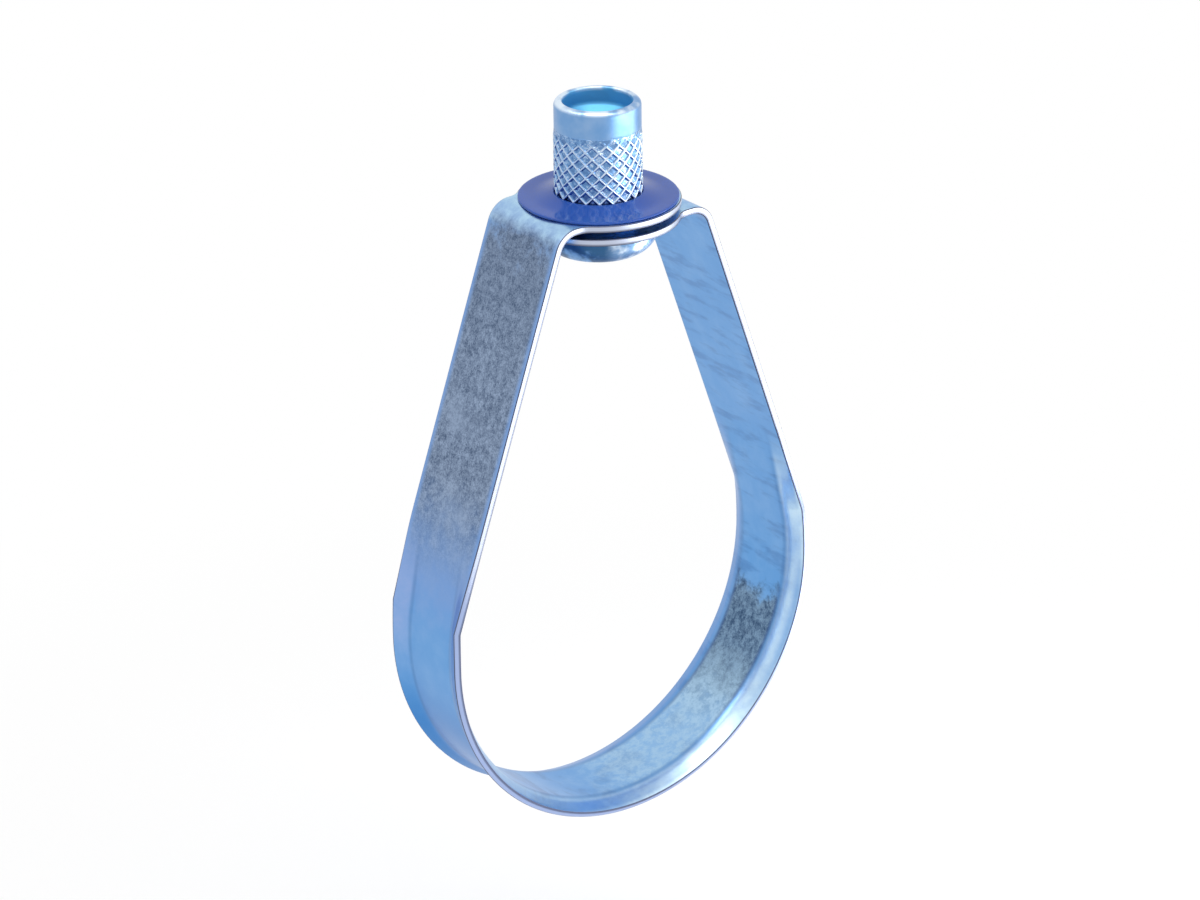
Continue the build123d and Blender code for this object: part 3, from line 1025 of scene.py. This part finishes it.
def sees_backdrop(tree):
    """1 for what the camera sees straight, mirrored or through glass, and 0 for soft light."""
    path = tree.nodes.new("ShaderNodeLightPath")
    direct, mirrored, through = (
        Socket(tree, path.outputs[name]) for name in ("Is Camera Ray", "Is Glossy Ray", "Is Transmission Ray")
    )
    return direct + mirrored + through


def floor_finish(stage):
    """Pale floor that takes the shadow near the loop and fades to plain white further out."""
    floor = Finish("floor")
    x, y = floor.axis(0), floor.axis(1)
    away = (x * x + y * y) ** 0.5
    tree = floor.tree
    white = tree.nodes.new("ShaderNodeEmission")
    blend = tree.nodes.new("ShaderNodeMixShader")
    grain = floor.noise(4 * MM, detail=3)
    floor.surface(Base_Color=tuple(stage.floor_colour), Roughness=0.85 + 0.1 * grain, Specular_IOR_Level=0.0)
    plug(tree, blend.inputs[0], away.ramp(0.05, 0.22) * sees_backdrop(tree))
    tree.links.new(floor.shader.outputs[0], blend.inputs[1])
    tree.links.new(white.outputs[0], blend.inputs[2])
    tree.links.new(blend.outputs[0], tree.nodes["Material Output"].inputs["Surface"])
    return floor.material


FLOOR_HALF = 3.0
LAMPS = (  # name, place, target and size in metres, and power in watts
    ("overhead", (-0.15, -0.1, 0.75), (-0.05, -0.02, 0), (1.3, 0.3), 3.6),
    ("side_card", (0.2, -0.26, 0.0), (0, 0, 0.06), (0.42, 0.28), 1.1),
    ("low_card", (0.12, -0.05, -0.065), (0, 0, 0.06), (0.1, 0.08), 0.14),
)


def area_light(name, place, target, size, power):
    """A soft white light of this width, depth and power, aimed at a target and unseen by the camera."""
    lamp = bpy.data.lights.new(name, "AREA")
    lamp.shape = "RECTANGLE"
    lamp.size, lamp.size_y = size
    lamp.energy = power
    light = bpy.data.objects.new(name, lamp)
    light.location = place
    light.rotation_euler = (Vector(target) - Vector(place)).to_track_quat("-Z", "Y").to_euler()
    light.visible_camera = False
    bpy.context.scene.collection.objects.link(light)


class HANGER_OT_stage(bpy.types.Operator):
    """Builds the floor, the soft light and the camera"""

    bl_idname = "hanger.stage"
    bl_label = "Stage"

    def execute(self, context):
        stage = context.scene.hanger_stage
        half, drop = FLOOR_HALF, BAND_LOW.z - stage.floor_drop
        corners = [(-half, -half, drop), (half, -half, drop), (half, half, drop), (-half, half, drop)]
        mesh = bpy.data.meshes.new("floor")
        mesh.from_pydata(corners, [], [(0, 1, 2, 3)])
        floor = bpy.data.objects.new("floor", mesh)
        mesh.materials.append(floor_finish(stage))
        context.scene.collection.objects.link(floor)

        world = bpy.data.worlds.new("studio")
        world.use_nodes = True
        tree = world.node_tree
        background = tree.nodes["Background"]
        background.inputs["Color"].default_value = (1, 1, 1, 1)
        plug(tree, background.inputs["Strength"], stage.fill + (1 - stage.fill) * sees_backdrop(tree))
        context.scene.world = world

        for lamp in LAMPS:
            area_light(*lamp)

        turn, rise, roll = stage.azimuth, stage.elevation, stage.roll
        back = Vector((-sin(turn) * cos(rise), -cos(turn) * cos(rise), sin(rise)))
        level = Vector((cos(turn), -sin(turn), 0))
        upright = back.cross(level)
        right = cos(roll) * level + sin(roll) * upright
        up = cos(roll) * upright - sin(roll) * level
        camera = bpy.data.objects.new("camera", bpy.data.cameras.new("camera"))
        camera.data.lens = stage.focal_length
        camera.data.clip_end = 20
        place = back * stage.distance + right * stage.slide + up * stage.lift
        pose = Matrix((right, up, back)).transposed().to_4x4()
        pose.translation = place
        camera.matrix_world = pose
        context.scene.collection.objects.link(camera)
        context.scene.camera = camera
        context.scene.view_settings.view_transform = "Standard"
        return {"FINISHED"}


class HANGER_PT_panel(bpy.types.Panel):
    """Lists the pieces of the hanger"""

    bl_idname = "HANGER_PT_panel"
    bl_label = "Loop hanger"
    bl_space_type = "VIEW_3D"
    bl_region_type = "UI"
    bl_category = "Loop hanger"

    def draw(self, context):
        for operator in OPERATORS:
            self.layout.operator(operator.bl_idname)


GROUPS = {
    "hanger_band": BandSettings,
    "hanger_nut": NutSettings,
    "hanger_washer": WasherSettings,
    "hanger_stage": StageSettings,
}
OPERATORS = (HANGER_OT_stage, HANGER_OT_band, HANGER_OT_nut, HANGER_OT_washer)


def register():
    """Makes the settings, operators and panel known to Blender."""
    for group in GROUPS.values():
        bpy.utils.register_class(group)
    for operator in (*OPERATORS, HANGER_PT_panel):
        bpy.utils.register_class(operator)
    for name, group in GROUPS.items():
        setattr(bpy.types.Scene, name, PointerProperty(type=group))


def unregister():
    """Takes them away again, last first."""
    for name in GROUPS:
        delattr(bpy.types.Scene, name)
    for entry in (HANGER_PT_panel, *reversed(OPERATORS), *reversed(GROUPS.values())):
        bpy.utils.unregister_class(entry)


def main():
    """Builds the whole hanger."""
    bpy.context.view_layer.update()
    register()
    bpy.ops.hanger.stage()
    bpy.ops.hanger.band()
    bpy.ops.hanger.nut()
    bpy.ops.hanger.washer()


if __name__ == "__main__":
    main()
